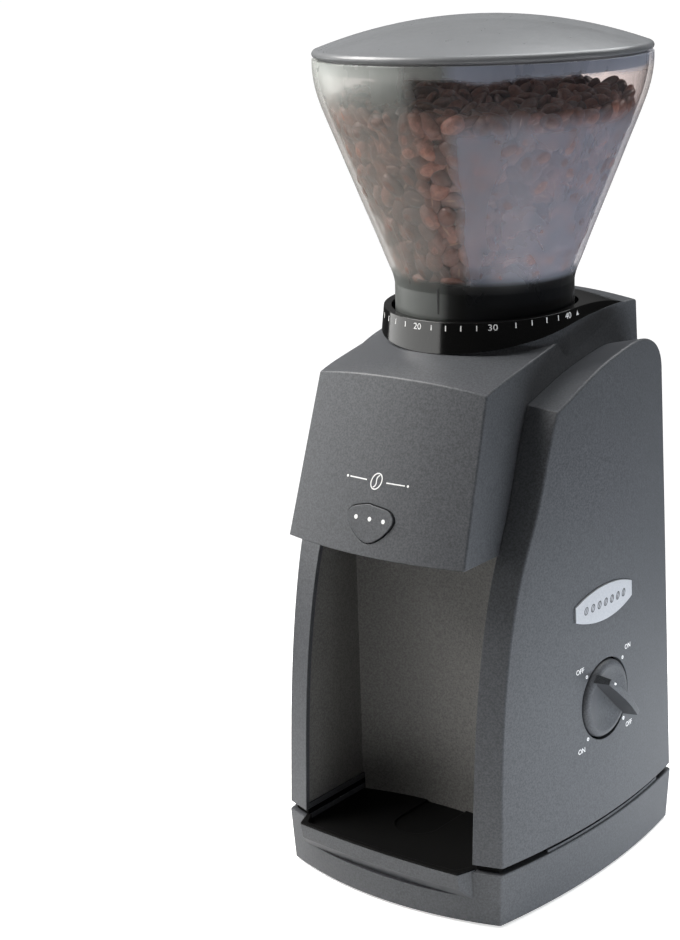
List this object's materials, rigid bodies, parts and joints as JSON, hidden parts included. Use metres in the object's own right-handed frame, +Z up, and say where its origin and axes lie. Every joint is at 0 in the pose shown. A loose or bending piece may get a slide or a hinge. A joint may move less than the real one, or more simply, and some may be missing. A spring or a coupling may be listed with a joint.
{
  "type": "burr coffee grinder",
  "caption": "Upright electric coffee grinder with a tapered bean hopper on a grind-setting collar, bowed side panels, front bay, rotary switch and pulse button.",
  "frame": {"origin": "centre of the bottom of the whole machine's box, on the surface it stands on", "axes": "+Z up, front with the bay and the button towards -Y, the knob's side panel towards +X"},
  "size_m": [0.1374, 0.1511, 0.35],
  "materials": {
    "charcoal_plastic": "fine spark texture",
    "black_plastic": "satin",
    "gloss_black": "high gloss",
    "grey_liner": "satin",
    "smoke_plastic": "clear, smoke tint",
    "lid_plastic": "satin, smoke tint",
    "badge_silver": "satin",
    "rubber": "matte",
    "hard_steel": "ground",
    "steel": "zinc plated",
    "gear_nylon": "natural",
    "brass": "turned",
    "bronze": "sintered",
    "copper": "enamelled wire",
    "ferrite": "dull",
    "silicone": "matte",
    "board_green": "solder mask",
    "component_black": "moulded"
  },
  "bodies": {
    "frame": {"base_tray": "charcoal_plastic", "bottom_plate": "black_plastic", "rubber_feet": "rubber", "base_screws": "steel", "bay_floor_mat": "black_plastic", "lower_frame": "black_plastic", "left_side_panel": "charcoal_plastic", "right_side_panel": "charcoal_plastic", "badge_plate": "badge_silver", "bay_liner": "grey_liner", "upper_housing": "charcoal_plastic", "scale_collar": "gloss_black", "rear_cover": "charcoal_plastic", "rear_cover_screws": "steel", "cord_gland": "black_plastic", "inner_frame": "black_plastic", "vibration_mounts": "rubber", "gearbox_housing": "black_plastic", "gearbox_cover": "black_plastic", "gearbox_screws": "steel", "intermediate_axle": "steel", "motor_can": "steel", "motor_magnets": "ferrite", "motor_end_cap": "black_plastic", "motor_brushes": "ferrite", "shaft_bushes": "bronze", "shaft_seal": "silicone", "burr_chamber": "black_plastic", "grounds_chute": "black_plastic", "rotary_switch": "black_plastic", "switch_terminals": "brass", "button_bracket": "black_plastic", "pulse_microswitch": "component_black", "circuit_board": "board_green", "board_parts": "component_black"},
    "motor_rotor": {"motor_shaft": "steel", "motor_armature": "steel", "motor_windings": "copper", "commutator": "copper", "motor_pinion": "brass"},
    "intermediate": {"intermediate_gear": "gear_nylon"},
    "burr_drive": {"main_gear": "gear_nylon", "burr_shaft": "steel", "paddle_wheel": "gear_nylon", "cone_burr": "hard_steel", "burr_retaining_screw": "steel"},
    "burr_holder": {"ring_burr_holder": "black_plastic", "ring_burr": "hard_steel", "holder_gasket": "silicone"},
    "adjuster": {"adjusting_ring": "black_plastic"},
    "hopper": {"hopper": "smoke_plastic", "hopper_funnel": "smoke_plastic", "finger_guard": "black_plastic"},
    "lid": {"hopper_lid": "lid_plastic"},
    "knob": {"switch_knob": "charcoal_plastic", "switch_shaft": "steel"},
    "button": {"pulse_button": "charcoal_plastic"}
  },
  "joints": [
    {"name": "motor_spin", "type": "hinge", "parent": "frame", "child": "motor_rotor", "pos_m": [-0.00155, 0.03239, 0.12], "axis": [0, 0, 1], "continuous": true},
    {"name": "intermediate_spin", "type": "hinge", "parent": "frame", "child": "intermediate", "pos_m": [0.01585, 0.02777, 0.16], "axis": [0, 0, 1], "continuous": true},
    {"name": "burr_spin", "type": "hinge", "parent": "frame", "child": "burr_drive", "pos_m": [-0.00155, 0.00845, 0.18], "axis": [0, 0, 1], "continuous": true},
    {"name": "grind_adjust", "type": "hinge", "parent": "frame", "child": "adjuster", "pos_m": [-0.00155, 0.00845, 0.215], "axis": [0, 0, 1], "range_deg": [-106, 94]},
    {"name": "burr_height", "type": "slide", "parent": "frame", "child": "burr_holder", "axis": [0, 0, 1], "range_m": [-0.00075, 0.00066]},
    {"name": "hopper_lift", "type": "slide", "parent": "adjuster", "child": "hopper", "axis": [0, 0, 1], "range_m": [0, 0.06]},
    {"name": "lid_lift", "type": "slide", "parent": "hopper", "child": "lid", "axis": [0, 0, 1], "range_m": [0, 0.05]},
    {"name": "switch_turn", "type": "hinge", "parent": "frame", "child": "knob", "pos_m": [0.05345, 0.00345, 0.0779], "axis": [1, 0, 0], "continuous": true},
    {"name": "pulse_press", "type": "slide", "parent": "frame", "child": "button", "axis": [0, 0.9508, -0.3099], "range_m": [0, 0.0015], "stiffness_N_per_m": 600, "springref_m": -0.0015}
  ],
  "couplings": [
    {"joint": "intermediate_spin", "follows": "motor_spin", "ratio": -0.28571},
    {"joint": "burr_spin", "follows": "motor_spin", "ratio": 0.068027},
    {"joint": "burr_height", "follows": "grind_adjust", "m_per_rad": 0.0004}
  ]
}
